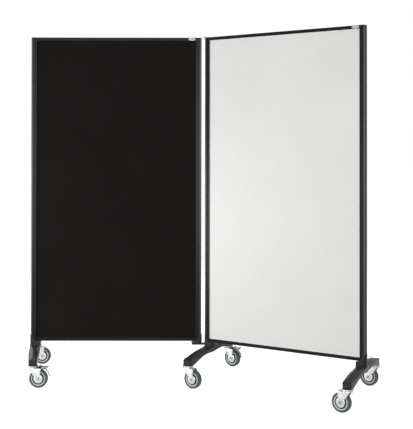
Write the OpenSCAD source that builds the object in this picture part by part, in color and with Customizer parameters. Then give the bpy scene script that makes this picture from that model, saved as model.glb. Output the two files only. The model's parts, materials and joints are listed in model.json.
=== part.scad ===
// Rolling partition: two framed panels joined by a pin hinge, standing on three
// arched cross bases with two swivel casters each. Sizes in millimetres, +Z up,
// floor at z = 0, front of the left panel towards -Y.

/* [Panels] */
// Width of one framed panel over its two posts
panel_w = 918; // [600:1:1300]
// Height of one framed panel
panel_h = 1634; // [900:1:2000]
// Free gap between the two hinged posts
hinge_gap = 26; // [24:0.5:40]
// Angle that the right panel is folded forwards from straight, as it stands
fold_angle = 32; // [0:1:60]

/* [Infill of a panel] */
// Thickness of the core board
core_t = 12; // [8:0.5:20]
// Thickness of each face board, fabric or dry-erase
face_t = 3.2; // [2:0.2:5]
// Free gap between the infill's edges and the floor of the slots that hold it
edge_gap = 1.5; // [0.5:0.5:3]

/* [Posts and rails] */
// Width of the closed tube of a post
tube_w = 20; // [16:0.5:30]
// Width of the lips of a post that hold the infill
post_lip_w = 10; // [8:0.5:14]
// Thickness of the lips of a post
post_lip_t = 2.3; // [1.5:0.1:4]
// Step from the crown of the tube down to the lips
lip_step = 1; // [0.5:0.1:2]
// Outer corner radius of a post
post_corner = 7; // [4:0.5:9]
// Rise of the crowned faces of a post
post_crown = 0.8; // [0.4:0.1:1]
// Wall of the post tube
post_wall = 2; // [1.5:0.1:3]
// Shadow groove between the tube and the lips
groove = 1.4; // [0.8:0.1:2]
// Depth of the slot in a rail
rail_slot = 6; // [5:0.5:12]
// Height of the closed part of a rail
rail_web = 11; // [10:0.5:16]
// Thickness of the lips of a rail
rail_lip = 2; // [1.5:0.1:3]
// Thickness of a post cap
cap_t = 3; // [2:0.5:3.5]
// Length of the cap's plugs inside the post
cap_plug = 14; // [8:1:25]
// Slide-in fit between rails, posts and infill
slide_fit = 0.2; // [0.1:0.05:0.3]

/* [Badge] */
// Width of the blank oval badge
badge_w = 38; // [20:1:60]
// Height of the badge
badge_h = 14; // [8:0.5:15]
// Thickness of the badge at its crown
badge_t = 2.4; // [1.6:0.1:3]

/* [Bases] */
// Distance from the post to each caster's swivel axis
arm_reach = 268; // [180:1:360]
// Length of an arm beyond the swivel axis
arm_nose = 22; // [19:0.5:35]
// Width of the arms at the post
arm_w_mid = 56; // [46:1:64]
// Width of the arms at their tips
arm_w_tip = 42; // [40:1:56]
// Height of an arm at its tip
arm_h_tip = 29; // [28:0.5:45]
// Height of the arms' top above the caster seats, at the post
arm_h_mid = 49; // [40:0.5:60]
// Rise of the arch under the arms
arm_arch = 22; // [16:0.5:28]
// Depth of the lens-shaped flats beside the ridge
arm_scoop = 17; // [8:0.5:17]
// Wall of the hollow arms
arm_wall = 5; // [4:0.5:7]
// Turn of the arms about the post, away from square
arm_toe = 8; // [0:1:10]
// Distance from the post's middle to the arms', towards the panel
arm_shift = 8; // [0:1:12]
// Height from the arms' top to the underside of the frame
frame_lift = 24; // [20:0.5:40]
// Depth that a post stands in its socket, below the frame
post_drop = 10; // [6:0.5:12]
// Wall of the socket round the post
socket_wall = 3; // [2:0.5:4]
// Rise of the socket above the underside of the frame, on its outer side
socket_rise = 37; // [25:1:60]
// Reach of the socket's gusset along the panel, past the post
gusset = 21; // [12:1:30]
// Rounding of the gusset's upper edge
gusset_round = 9; // [4:1:11]

/* [Casters] */
// Wheel diameter over the tread
wheel_d = 95; // [75:1:125]
// Width of the tread
tread_w = 26; // [20:1:36]
// Radial thickness of the tread
tread_t = 12; // [7:0.5:14]
// Swivel lead: distance from the swivel axis back to the axle
trail = 30; // [20:1:36]
// Radius of the axle bolt
axle_r = 4; // [3:0.5:5]
// Radius of the dished thread guards
guard_r = 24; // [18:0.5:27]
// Thickness of the fork's pressed steel
fork_t = 2.5; // [2:0.1:4]
// Radius of the fork's rounded axle ends
fork_end_r = 12; // [10:0.5:15]
// Gap between the wheel and the fork's crown
crown_gap = 4; // [3:0.5:8]
// Height of the fork's lower race
race_h = 6; // [4:0.5:9]
// Radius of the swivel races
race_r = 27; // [22:0.5:30]
// Height of the cover over the races
race_cover_h = 4.6; // [3.5:0.1:8]
// Radius of the kingpin
kingpin_r = 6; // [4:0.5:8]
// Length of the caster's stem inside the arm
stem_len = 24; // [14:1:27]
// Running clearance on every pin and axle
run_fit = 0.06; // [0.03:0.01:0.09]

/* [Brakes] */
// Reach of a brake pedal from its caster's swivel axis
pedal_reach = 84; // [80:1:92]
// Width of a brake pedal
pedal_w = 20; // [14:1:24]
// Thickness of a brake pedal
pedal_t = 3; // [2:0.5:4]
// Gap between the tread and the brake tongue when it is off
tongue_gap = 8.5; // [8:0.5:11]

/* [Hinge] */
// Width of the hinge plates
plate_w = 18; // [14:0.5:19]
// Thickness of the top hinge plates
top_plate_t = 2.4; // [2:0.1:4]
// Thickness of the bottom link and of the ear that it turns on
link_t = 5; // [4:0.5:8]
// Height of the bottom link above the arms
link_lift = 3; // [2:0.5:6]
// Radius of the hinge pins
pin_r = 4; // [3:0.5:5]
// Gap between plates that turn over each other
plate_gap = 0.3; // [0.2:0.05:0.5]

/* [Fasteners] */
// Shank radius of the bolts that hold the posts
bolt_r = 3; // [2:0.5:3.5]
// Head radius of those bolts
bolt_head_r = 5.5; // [5:0.5:7]
// Head height of those bolts
bolt_head_h = 4; // [2.5:0.5:6]
// Length of thread in the end of a post
bolt_grip = 22; // [12:1:40]
// Shank radius of the corner screws
screw_r = 1.8; // [1.5:0.1:2]
// Length of a corner screw in the rail
screw_grip = 26; // [12:1:40]

/* [Hidden] */
$fn = 48;
hole_fit = 0.25;      // clearance of bolts and screws in their holes
seat_gap = 0.3;       // gap under pieces that only rest near each other

// Panel section, from the infill outwards
infill_t = core_t + 2 * face_t;
rail_mouth = infill_t + 2 * slide_fit;
rail_d = rail_mouth + 2 * rail_lip;
rail_h = rail_web + rail_slot;
post_mouth = rail_d + 2 * slide_fit;
post_w = tube_w + post_lip_w;
post_d = post_mouth + 2 * post_lip_t + 2 * lip_step;
lip_out = post_d / 2 - lip_step;
port_x = tube_w / 2;                      // screw port, from the post's outer side
port_off = port_x - post_w / 2;           // screw port, from the post's middle
port_wall = 2.4;
screw_head_r = 1.8 * screw_r;
screw_head_h = 2.4;
rail_port_y = rail_d / 2 - rail_lip - 2;  // corner screws, from the rail's middle
rail_port_z = rail_web - screw_r - 1.7;

// Heights of the casters and bases
wheel_r = wheel_d / 2;
crown_z = wheel_d + crown_gap;
race_z = crown_z + fork_t;
cover_z = race_z + race_h + plate_gap;
seat_z = cover_z + race_cover_h;          // underside of the arm tips
arm_top_mid = seat_z + arm_h_mid;
arm_top_tip = seat_z + arm_h_tip;
arm_len = arm_reach + arm_nose;
arm_bow = 2.3;                            // how late along an arm its top falls
seat_len = race_r + 2;                    // flat caster seat, inwards of the axis
tip_len = 10;                             // bevelled end of an arm, and how much narrower it ends
tip_in = 7;
frame_z = arm_top_mid + frame_lift;       // underside of the frame
top_z = frame_z + panel_h;                // top of the posts and rails
post_z = frame_z - post_drop;             // lower end of the posts
link_z = arm_top_mid + link_lift;
foot_z = link_z + link_t;                 // underside of the foot that has no arms
ear_z = foot_z + plate_gap;
bolt_sink = link_t / 2;                   // sunk head under the bottom link
head_sink = 4;                            // depth of a base bolt's head inside its arch
clamp_z = post_z + 0.5;                   // side screw that clamps the post in the hinge foot

// Plan of the posts, from the hinge axis along each panel
hinge_post_x = hinge_gap / 2 + post_w / 2;
outer_post_x = hinge_gap / 2 + panel_w - post_w / 2;
panel_mid_x = hinge_gap / 2 + panel_w / 2;
foot_out = post_w / 2 + socket_wall;
foot_in = post_w / 2 + gusset;
foot_half = post_d / 2 + socket_wall;
nose_r = foot_half - 2;
foot_corner = 6;                          // rounding of the socket at the panel's side

clamp_len = foot_in - tube_w + post_w / 2 - 2 * slide_fit;
link_screw_x = foot_in - 14;
link_screw_grip = 7;

// Casters
wheel_half = tread_w / 2;
hub_half = wheel_half + 0.5;
guard_t = 1.2;
guard_hub_t = 3.2;
leg_in = hub_half + seat_gap + guard_hub_t;
leg_out = leg_in + fork_t;
rim_r = wheel_r - tread_t;
pedal_pin_r = 2.5;
pedal_pin_x = trail + 8;
pedal_boss_r = pedal_pin_r + 1.6;
pedal_pin_z = race_z + pedal_boss_r + 0.8;
pedal_z = pedal_pin_z - pedal_t / 2;
lug_t = 2.5;                              // ears of the fork that carry the pedal's pin
lug_in = pedal_w / 2 + 0.55;
pedal_pin_half = lug_in + lug_t + 1.2;
nut_r = 1.75 * axle_r;                    // over the corners of the axle's nut and head
nut_h = 4;
crown_over = 14;                          // reach of the fork's crown past the axle

// One row per caster: name, base, end (-1 front, 1 rear), heading, braked
casters = [
  ["left_front", 0, -1, 0, true],
  ["left_rear", 0, 1, 0, false],
  ["middle_front", 1, -1, -34, false],
  ["middle_rear", 1, 1, -38, true],
  ["right_front", 2, -1, 145, false],
  ["right_rear", 2, 1, 147, false]
];
function turned(v, a) = [v.x * cos(a) - v.y * sin(a), v.x * sin(a) + v.y * cos(a)];
function base_spot(b) = b == 0 ? [-outer_post_x, 0]
  : turned([b == 1 ? hinge_post_x : outer_post_x, 0], -fold_angle);
function base_side(b) = b == 2 ? -1 : 1;   // 1 where the panel lies towards +x of its post
function base_turn(b) = arm_toe - (b == 0 ? 0 : fold_angle);
function arm_spot(b) = base_spot(b)
  + turned([base_side(b) * arm_shift, 0], b == 0 ? 0 : -fold_angle);
function swivel_spot(c) = arm_spot(c[1]) + turned([0, c[2] * arm_reach], base_turn(c[1]));
function tip_spot(c) = arm_spot(c[1]) + turned([0, c[2] * arm_len], base_turn(c[1]));
function axle_spot(c) = swivel_spot(c) + turned([trail, 0], c[3]);

// Middle of the whole partition's footprint, which is set on the origin
function wheel_span(c) = [wheel_r * abs(cos(c[3])) + wheel_half * abs(sin(c[3])),
                          wheel_r * abs(sin(c[3])) + wheel_half * abs(cos(c[3]))];
reach_pts = concat(
  [for (c = casters) axle_spot(c) + wheel_span(c)],
  [for (c = casters) axle_spot(c) - wheel_span(c)],
  [for (c = casters, k = [-1, 1]) swivel_spot(c) + k * [race_r, race_r]],
  [for (c = casters, k = [-1, 1]) tip_spot(c) + k * turned([arm_w_tip / 2 - tip_in, 0], base_turn(c[1]))],
  [[-hinge_gap / 2 - panel_w, 0]]);
reach_x = [for (p = reach_pts) p.x];
reach_y = [for (p = reach_pts) p.y];
middle = [(min(reach_x) + max(reach_x)) / 2, (min(reach_y) + max(reach_y)) / 2];

// ---- Places ----
// Frame with the hinge axis on z and the left panel along -x
module hinge_frame() translate([-middle.x, -middle.y, 0]) children();
// Frames with their origin at the middle of each panel's width, front towards -y
module in_left_panel() hinge_frame() translate([-panel_mid_x, 0, 0]) children();
module in_right_panel() hinge_frame() rotate([0, 0, -fold_angle]) translate([panel_mid_x, 0, 0]) children();
// The two ends of a panel: children are drawn for the left end
module at_end(side) {
  if (side < 0) translate([-panel_w / 2, 0, 0]) children();
  else translate([panel_w / 2, 0, 0]) mirror([1, 0, 0]) children();
}
module at_caster(c) hinge_frame() translate([swivel_spot(c).x, swivel_spot(c).y, 0])
  rotate([0, 0, c[3]]) children();

// ---- Panel sections ----
// Rounded rectangle from four circles, x from 0 to w, y about 0
module round_box(w, d, r) {
  translate([r, -d / 2]) square([w - 2 * r, d]);
  translate([0, r - d / 2]) square([w, d - 2 * r]);
  for (x = [r, w - r], y = [r - d / 2, d / 2 - r]) translate([x, y]) circle(r);
}
// Outline of a post grown by fit: what the sockets and caps follow
module post_outline(fit = 0) {
  r = post_corner;
  translate([r, -post_d / 2 - fit]) square([post_w + fit - r, post_d + 2 * fit]);
  translate([-fit, r - post_d / 2]) square([post_w + 2 * fit, post_d - 2 * r]);
  for (y = [-1, 1]) translate([r, y * (post_d / 2 - r)]) circle(r + fit);
}
module post_section() {
  crown_r = (tube_w * tube_w / 4 + post_crown * post_crown) / (2 * post_crown);
  chamber_w = tube_w - 2 * post_wall;
  difference() {
    union() {
      intersection() {
        union() {
          translate([post_corner, -post_d / 2]) square([tube_w - post_corner, post_d]);
          translate([0, post_corner - post_d / 2]) square([tube_w, post_d - 2 * post_corner]);
          for (y = [-1, 1]) translate([post_corner, y * (post_d / 2 - post_corner)]) circle(post_corner);
        }
        translate([tube_w / 2, post_d / 2 - crown_r]) circle(crown_r, $fn = 180);
        translate([tube_w / 2, crown_r - post_d / 2]) circle(crown_r, $fn = 180);
      }
      for (y = [-1, 1]) translate([tube_w - 1, y * (lip_out - post_lip_t / 2) - post_lip_t / 2])
        square([post_lip_w + 1, post_lip_t]);
    }
    difference() {
      translate([post_wall, 0]) round_box(chamber_w, post_d - 2 * post_wall - 2 * post_crown, 2);
      translate([0, -1]) square([tube_w, 2]);
      translate([port_x, 0]) circle(bolt_r + port_wall);
    }
    translate([port_x, 0]) circle(bolt_r + 0.1);
    for (y = [-1, 1]) translate([tube_w, y * post_d / 2]) circle(groove);
  }
}
module rail_section() {
  difference() {
    translate([-rail_d / 2, 0]) square([rail_d, rail_h]);
    translate([-rail_mouth / 2, rail_web]) square([rail_mouth, rail_slot + 1]);
    for (y = [-1, 1]) translate([y * rail_port_y, rail_port_z]) circle(screw_r + 0.1);
    translate([0, rail_web / 2]) square([2 * rail_port_y - 2 * screw_r - 4, rail_web - 4], center = true);
  }
}

// ---- Pieces of a panel ----
// Post standing at the left end, with the corner screws' holes
module post() {
  difference() {
    translate([0, 0, post_z]) linear_extrude(top_z - cap_t - post_z) post_section();
    for (z = [frame_z + rail_port_z, top_z - rail_port_z], y = [-1, 1])
      translate([0, y * rail_port_y, z]) rotate([0, 90, 0]) {
        translate([0, 0, -1]) cylinder(h = post_wall + 2, r = screw_head_r + 0.3);
        translate([0, 0, tube_w - post_wall - 1]) cylinder(h = post_wall + 2, r = screw_r + hole_fit);
      }
  }
}
// Rail along x, its slot facing up; the top rail is the same one turned over
module rail() {
  len = panel_w - 2 * tube_w - 2 * slide_fit;
  translate([-len / 2, 0, 0]) rotate([90, 0, 90]) linear_extrude(len) rail_section();
}
module bottom_rail() translate([0, 0, frame_z]) rail();
module top_rail() translate([0, 0, top_z]) mirror([0, 0, 1]) rail();
module infill(y, t) {
  w = panel_w - 2 * tube_w - 2 * edge_gap;
  h = panel_h - 2 * rail_web - 2 * edge_gap;
  translate([-w / 2, y - t / 2, frame_z + rail_web + edge_gap]) cube([w, t, h]);
}
// Face board: side -1 is the front
module face(side) infill(side * (core_t / 2 + face_t / 2), face_t);
module core() infill(0, core_t);
// Cap over the end of a post: a plate with a rounded outer edge and two plugs
module post_cap(drilled) {
  plug_y = post_d / 2 - post_wall - post_crown - 1;
  plug_in = bolt_r + port_wall + 1;
  difference() {
    union() {
      intersection() {
        translate([0, 0, top_z - cap_t]) linear_extrude(cap_t) post_outline();
        translate([0, post_d, 0]) rotate([90, 0, 0]) linear_extrude(2 * post_d) {
          translate([cap_t, top_z - 2 * cap_t]) square([post_w, 2 * cap_t]);
          translate([cap_t, top_z - cap_t]) circle(cap_t);
        }
      }
      for (y = [-1, 1]) translate([post_wall + 2, y * (plug_y + plug_in) / 2 - (plug_y - plug_in) / 2,
          top_z - cap_t - cap_plug])
        cube([tube_w - 2 * post_wall - 4 - screw_head_h, plug_y - plug_in, cap_plug + 1]);
    }
    translate([tube_w, -post_mouth / 2, top_z - 2 * cap_t]) cube([post_w, post_mouth, 3 * cap_t]);
    if (drilled) translate([port_x, 0, top_z - cap_t - 1]) cylinder(h = cap_t + 2, r = bolt_r + hole_fit);
  }
}
module corner_screws() {
  len = post_wall + slide_fit + screw_grip;
  for (side = [-1, 1], z = [frame_z + rail_port_z, top_z - rail_port_z], y = [-1, 1])
    at_end(side) translate([tube_w - post_wall, y * rail_port_y, z]) rotate([0, 90, 0]) {
      translate([0, 0, -screw_head_h]) cylinder(h = screw_head_h, r = screw_head_r);
      cylinder(h = len, r = screw_r);
    }
}
module oval(w, h) polygon([for (a = [0 : 6 : 354]) [w / 2 * cos(a), h / 2 * sin(a)]]);
// Blank oval badge with a raised middle, on the front of the top rail
module badge() {
  rim = 1.6;
  translate([panel_w / 2 - post_w - badge_w / 2 - 0.5, -rail_d / 2, top_z - rail_h / 2])
    rotate([90, 0, 0]) {
      linear_extrude(0.6 * badge_t) oval(badge_w, badge_h);
      linear_extrude(badge_t) oval(badge_w - 2 * rim, badge_h - 2 * rim);
    }
}

// ---- Bases ----
// Height and half width of the arms at s along them from the post
function arm_top(s) = arm_top_tip + (arm_top_mid - arm_top_tip) * (1 - pow(abs(s) / arm_len, arm_bow));
function arm_under(s) = seat_z + (abs(s) > arm_reach - seat_len ? 0
  : arm_arch * (1 - pow(abs(s) / (arm_reach - seat_len), 2)));
function arm_half(s) = (arm_w_mid + (arm_w_tip - arm_w_mid) * abs(s) / arm_len) / 2;
// Share of the lens-shaped flats: none at the socket and at the tip, full between them
function lens(s) = let (t = (abs(s) - foot_half) / (arm_reach - 6 - foot_half))
  t <= 0 || t >= 1 ? 0 : pow(sin(180 * t), 0.7);
// Six-sided section of an arm at s; floor_z below zero follows the arch
function arm_ring(s, inset, floor_z) = let (
    tip = max(0, abs(s) - arm_len + tip_len) / tip_len,
    w = arm_half(s) - inset - tip_in * tip,
    z = arm_top(s) - inset - 3 * tip,
    c = min(2 + arm_scoop * lens(s), w - 3),
    h = 2 + 0.6 * arm_scoop * lens(s),
    f = floor_z < 0 ? arm_under(s) : floor_z)
  [[-w, s, f], [-w, s, z - h], [c - w, s, z], [w - c, s, z], [w, s, z - h], [w, s, f]];
// Solid through a row of equal rings, with triangles only
module loft(rings) {
  n = len(rings[0]);
  m = len(rings);
  pts = [for (r = rings, p = r) p];
  sides = [for (i = [0 : m - 2], k = [0 : n - 1], t = [0, 1]) let (
      a = i * n + k, b = i * n + (k + 1) % n, c = a + n, d = b + n)
    t == 0 ? [a, d, b] : [a, c, d]];
  ends = concat([for (k = [1 : n - 2]) [0, k, k + 1]],
                [for (k = [1 : n - 2]) [(m - 1) * n, (m - 1) * n + k + 1, (m - 1) * n + k]]);
  polyhedron(points = pts, faces = concat(sides, ends), convexity = 6);
}
module arms() {
  n = 14;
  inner = arm_len - tip_len;
  rows = concat([-arm_len], [for (i = [-n : n]) inner * i / n], [arm_len]);
  loft([for (s = rows) arm_ring(s, 0, -1)]);
}
// Hollow under one arm, between the socket and the caster seat
module arm_hollow(end) {
  s0 = foot_half + 2.8 * arm_wall;
  s1 = arm_reach - seat_len - 1.2 * arm_wall;
  n = 8;
  rows = [for (i = [0 : n]) s0 + (s1 - s0) * i / n];
  mirror([0, end < 0 ? 1 : 0, 0]) loft([for (s = rows) arm_ring(s, arm_wall, seat_z - 5)]);
}
// Side view of a socket, x along the panel with the panel towards +x
module foot_side(bottom) {
  g = gusset_round;
  top = frame_z - seat_gap;
  low = min(top - g - 2, bottom + 20);
  polygon(concat(
    [[-foot_out, bottom], [foot_in - (bottom < link_z ? g : 0), bottom]],
    bottom < link_z ? [[foot_in - g, low - g], [foot_in - g * 0.3, low - g * 0.7]] : [],
    bottom < link_z ? [[foot_in, low]] : [],
    [for (a = [0 : 15 : 90]) [foot_in - g + g * cos(a), top - g + g * sin(a)]],
    [[post_w / 2 + slide_fit, top], [-foot_out, frame_z + socket_rise]]));
}
module foot_plan() {
  r = foot_corner;
  nose = nose_r;
  translate([nose - foot_out, -foot_half]) square([foot_in + foot_out - nose - r, 2 * foot_half]);
  translate([-foot_out, nose - foot_half]) square([foot_in + foot_out, 2 * (foot_half - nose)]);
  translate([0, r - foot_half]) square([foot_in, 2 * (foot_half - r)]);
  for (y = [-1, 1]) {
    translate([nose - foot_out, y * (foot_half - nose)]) circle(nose);
    translate([foot_in - r, y * (foot_half - r)]) circle(r);
  }
}
// Socket block round the lower end of a post
module foot(bottom) intersection() {
  translate([0, foot_half + 1, 0]) rotate([90, 0, 0]) linear_extrude(2 * foot_half + 2) foot_side(bottom);
  translate([0, 0, bottom - 1]) linear_extrude(frame_z + socket_rise) foot_plan();
}
module post_pocket() translate([-post_w / 2, 0, post_z]) linear_extrude(socket_rise + post_drop + 1)
  post_outline(slide_fit);
// Base casting about its post; side 1 has the panel towards +x, side -1 towards -x
module base(side, ear = false) {
  bottom = arm_under(0);
  flip = side < 0 ? 1 : 0;
  difference() {
    union() {
      mirror([flip, 0, 0]) foot(bottom);
      translate([side * arm_shift, 0, 0]) rotate([0, 0, arm_toe]) arms();
      if (ear) translate([0, 0, ear_z]) linear_extrude(link_t) hinge_plate_plan(6 - foot_out);
    }
    mirror([flip, 0, 0]) {
      post_pocket();
      translate([port_off, 0, 0]) {
        cylinder(h = post_z + 5, r = bolt_r + hole_fit);
        cylinder(h = bottom + head_sink + bolt_head_h, r = bolt_head_r + 1);
      }
    }
    translate([side * arm_shift, 0, 0]) rotate([0, 0, arm_toe]) {
      arm_hollow(-1);
      arm_hollow(1);
      for (y = [-1, 1]) translate([0, y * arm_reach, seat_z - 1])
        cylinder(h = stem_len + 2, r = kingpin_r + hole_fit);
    }
    if (ear) translate([-hinge_post_x, 0, ear_z - 1]) cylinder(h = link_t + 2, r = pin_r + run_fit);
  }
}
// Plan of a plate that is round on the hinge axis and runs to end_x, drawn about a hinged post
module hinge_plate_plan(end_x) {
  translate([-hinge_post_x, 0]) circle(plate_w / 2);
  translate([-hinge_post_x, -plate_w / 2]) square([hinge_post_x + end_x, plate_w]);
}
// Foot with no arms, under the left panel's hinged post, drawn with the panel towards +x
module hinge_foot() {
  difference() {
    foot(foot_z);
    post_pocket();
    translate([port_off, 0, foot_z - 1]) cylinder(h = post_z - foot_z + 2, r = bolt_r + hole_fit);
    translate([tube_w - post_w / 2 + slide_fit, 0, clamp_z]) rotate([0, 90, 0])
      cylinder(h = foot_in, r = bolt_r + hole_fit);
    translate([link_screw_x, 0, foot_z - 1]) cylinder(h = link_screw_grip + 2, r = screw_r + hole_fit);
  }
}

// ---- Hinge ----
// Bottom link under the foot, drawn about the hinged post with the panel towards +x
module bottom_link() {
  difference() {
    translate([0, 0, link_z]) linear_extrude(link_t) {
      hinge_plate_plan(foot_in - plate_w / 2);
      translate([foot_in - plate_w / 2, 0]) circle(plate_w / 2);
    }
    translate([-hinge_post_x, 0, link_z - 1]) cylinder(h = link_t + 2, r = pin_r + run_fit);
    translate([port_off, 0, link_z - 1]) {
      cylinder(h = link_t + 2, r = bolt_r + hole_fit);
      cylinder(h = 1 + bolt_sink, r = bolt_head_r + hole_fit);
    }
    translate([link_screw_x, 0, link_z - 1]) {
      cylinder(h = link_t + 2, r = screw_r + hole_fit);
      cylinder(h = 1 + screw_head_h, r = screw_head_r + hole_fit);
    }
  }
}
// Left top plate lies flat on its cap; the right one steps up over it
module top_plate(raised) {
  far = port_off + bolt_head_r + 4;
  step_x = -post_w / 2 + 2;
  up = raised ? top_plate_t + plate_gap : 0;
  difference() {
    union() {
      translate([0, 0, top_z + up]) linear_extrude(top_plate_t) hinge_plate_plan(raised ? step_x : far);
      if (raised) {
        translate([step_x - top_plate_t, -plate_w / 2, top_z]) {
          cube([top_plate_t, plate_w, up + top_plate_t]);
          cube([far - step_x + top_plate_t, plate_w, top_plate_t]);
        }
      }
    }
    translate([-hinge_post_x, 0, top_z - 1])
      cylinder(h = 3 * top_plate_t + 2, r = pin_r + run_fit);
    translate([port_off, 0, top_z - 1]) cylinder(h = top_plate_t + 2, r = bolt_r + hole_fit);
  }
}
// Pins drawn on the hinge axis: the top one headed on both sides, the lower one on top
module pins() {
  top_stack = 2 * top_plate_t + plate_gap;
  head_t = 1.6;
  head_r = pin_r + 2;
  translate([0, 0, top_z - plate_gap]) cylinder(h = top_stack + 2 * plate_gap, r = pin_r);
  translate([0, 0, top_z - plate_gap - head_t]) cylinder(h = head_t, r = head_r);
  translate([0, 0, top_z + top_stack + plate_gap / 2]) cylinder(h = head_t, r = head_r);
  translate([0, 0, link_z]) cylinder(h = 2 * link_t + 2 * plate_gap, r = pin_r);
  translate([0, 0, ear_z + link_t + plate_gap / 2]) cylinder(h = head_t, r = head_r);
}

// ---- Bolts ----
// Bolt up into the foot of a post: head, then shank
module up_bolt(head_z) translate([0, 0, head_z]) {
  cylinder(h = bolt_head_h, r = bolt_head_r);
  cylinder(h = post_z + bolt_grip - head_z, r = bolt_r);
}
module base_bolt(side) translate([side * port_off, 0, 0]) up_bolt(arm_under(0) + head_sink);
module foot_bolts() {
  translate([port_off, 0, 0]) {
    translate([0, 0, link_z]) cylinder(h = bolt_sink, r = bolt_head_r);
    translate([0, 0, link_z]) cylinder(h = post_z + bolt_grip - link_z, r = bolt_r);
  }
  translate([link_screw_x, 0, link_z]) {
    cylinder(h = screw_head_h, r = screw_head_r);
    cylinder(h = link_t + link_screw_grip, r = screw_r);
  }
  translate([foot_in, 0, clamp_z]) rotate([0, 90, 0]) {
    translate([0, 0, -clamp_len]) cylinder(h = clamp_len, r = bolt_r);
    cylinder(h = bolt_head_h, r = bolt_head_r - 1);
  }
}
module top_bolt() translate([port_off, 0, top_z + top_plate_t]) {
  cylinder(h = 1.8, r = bolt_head_r);
  translate([0, 0, -bolt_grip]) cylinder(h = bolt_grip + 1, r = bolt_r);
}

// ---- Casters, drawn with the swivel axis on z and the axle at x = trail ----
module stem() {
  cover_lip = 1.4;
  cover_rim = 5;
  pin_head_h = 4;
  pin_head_out = 3;
  pin_low = crown_z - plate_gap;
  difference() {
    translate([0, 0, cover_z]) cylinder(h = race_cover_h, r = race_r + cover_lip);
    translate([0, 0, cover_z - 1]) cylinder(h = 1 + race_cover_h / 2, r = race_r - cover_rim);
  }
  translate([0, 0, pin_low]) cylinder(h = seat_z + stem_len - pin_low, r = kingpin_r);
  translate([0, 0, pin_low - pin_head_h]) cylinder(h = pin_head_h, r = kingpin_r + pin_head_out);
}
// Side view of a fork leg, y up: a broad crown that tapers to a round end on the axle
module leg_side() {
  polygon([[-race_r + 5, race_z], [trail + crown_over, race_z], [trail + crown_over - 2, crown_z - 14],
    [trail + fork_end_r - 2, wheel_r + fork_end_r + 10], [trail + fork_end_r, wheel_r],
    [trail - fork_end_r, wheel_r], [-2, wheel_r + fork_end_r + 14], [-8, crown_z - 12]]);
  translate([trail, wheel_r]) circle(fork_end_r);
}
module fork(braked) {
  difference() {
    union() {
      for (y = [-1, 1]) translate([0, (y > 0 ? leg_out : -leg_in), 0]) rotate([90, 0, 0])
        linear_extrude(fork_t) leg_side();
      translate([0, 0, crown_z]) linear_extrude(fork_t) {
        translate([0, -leg_out]) square([trail + crown_over, 2 * leg_out]);
        circle(race_r);
      }
      translate([0, 0, race_z]) cylinder(h = race_h, r1 = race_r, r2 = race_r - 2, $fn = 64);
      if (braked) for (y = [lug_in + lug_t, -lug_in]) translate([0, y, 0]) rotate([90, 0, 0])
        linear_extrude(lug_t) {
          translate([pedal_pin_x, pedal_pin_z]) circle(pedal_boss_r);
          translate([pedal_pin_x - pedal_boss_r, race_z - 0.5])
            square([2 * pedal_boss_r, pedal_pin_z - race_z + 0.5]);
        }
    }
    translate([0, 0, crown_z - 1]) cylinder(h = fork_t + race_h + 2, r = kingpin_r + run_fit);
    translate([trail, leg_out + 1, wheel_r]) rotate([90, 0, 0])
      cylinder(h = 2 * leg_out + 2, r = axle_r + 0.1);
    if (braked) translate([pedal_pin_x, pedal_w, pedal_pin_z]) rotate([90, 0, 0])
      cylinder(h = 2 * pedal_w, r = pedal_pin_r + run_fit);
  }
}
// Axle bolt with its nut, and the two dished thread guards
module axle(braked) {
  translate([trail, 0, wheel_r]) rotate([90, 0, 0]) {
    translate([0, 0, -leg_out - nut_h + 2]) cylinder(h = 2 * leg_out + nut_h, r = axle_r);
    translate([0, 0, leg_out]) cylinder(h = nut_h, r = nut_r, $fn = 6);
    difference() {
      translate([0, 0, -leg_out - nut_h]) cylinder(h = nut_h, r = nut_r, $fn = 6);
      translate([0, 0, -leg_out - nut_h - 1]) cylinder(h = nut_h + 2, r = axle_r + 0.02);
    }
    for (k = [0, 1]) mirror([0, 0, k]) translate([0, 0, hub_half + seat_gap]) rotate_extrude()
      polygon([[axle_r + 0.1, 0], [fork_end_r - 3, 0], [guard_r - 4, 0.6], [guard_r, -0.2],
        [guard_r, guard_t], [guard_r - 4, guard_t + 1], [fork_end_r - 2, guard_hub_t],
        [axle_r + 0.1, guard_hub_t]]);
  }
  if (braked) translate([pedal_pin_x, pedal_pin_half, pedal_pin_z]) rotate([90, 0, 0])
    cylinder(h = 2 * pedal_pin_half, r = pedal_pin_r);
}
// Wheel core: hub, web and rim
module wheel() translate([trail, 0, wheel_r]) rotate([90, 0, 0]) rotate_extrude() polygon([
  [axle_r + run_fit, -hub_half], [fork_end_r, -hub_half], [fork_end_r + 2, -5], [rim_r - 9, -4],
  [rim_r - 7, -wheel_half + 2.5], [rim_r - 1, -wheel_half + 1], [rim_r, -wheel_half + 1.6],
  [rim_r, wheel_half - 1.6], [rim_r - 1, wheel_half - 1], [rim_r - 7, wheel_half - 2.5],
  [rim_r - 9, 4], [fork_end_r + 2, 5], [fork_end_r, hub_half], [axle_r + run_fit, hub_half]]);
// Tread ring with rounded shoulders
module tyre() {
  shoulder_r = 5;
  translate([trail, 0, wheel_r]) rotate([90, 0, 0]) rotate_extrude($fn = 96) {
    translate([rim_r, -wheel_half]) square([tread_t - shoulder_r, tread_w]);
    translate([rim_r, shoulder_r - wheel_half]) square([tread_t, tread_w - 2 * shoulder_r]);
    for (y = [-1, 1]) translate([wheel_r - shoulder_r, y * (wheel_half - shoulder_r)])
      circle(shoulder_r);
  }
}
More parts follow.
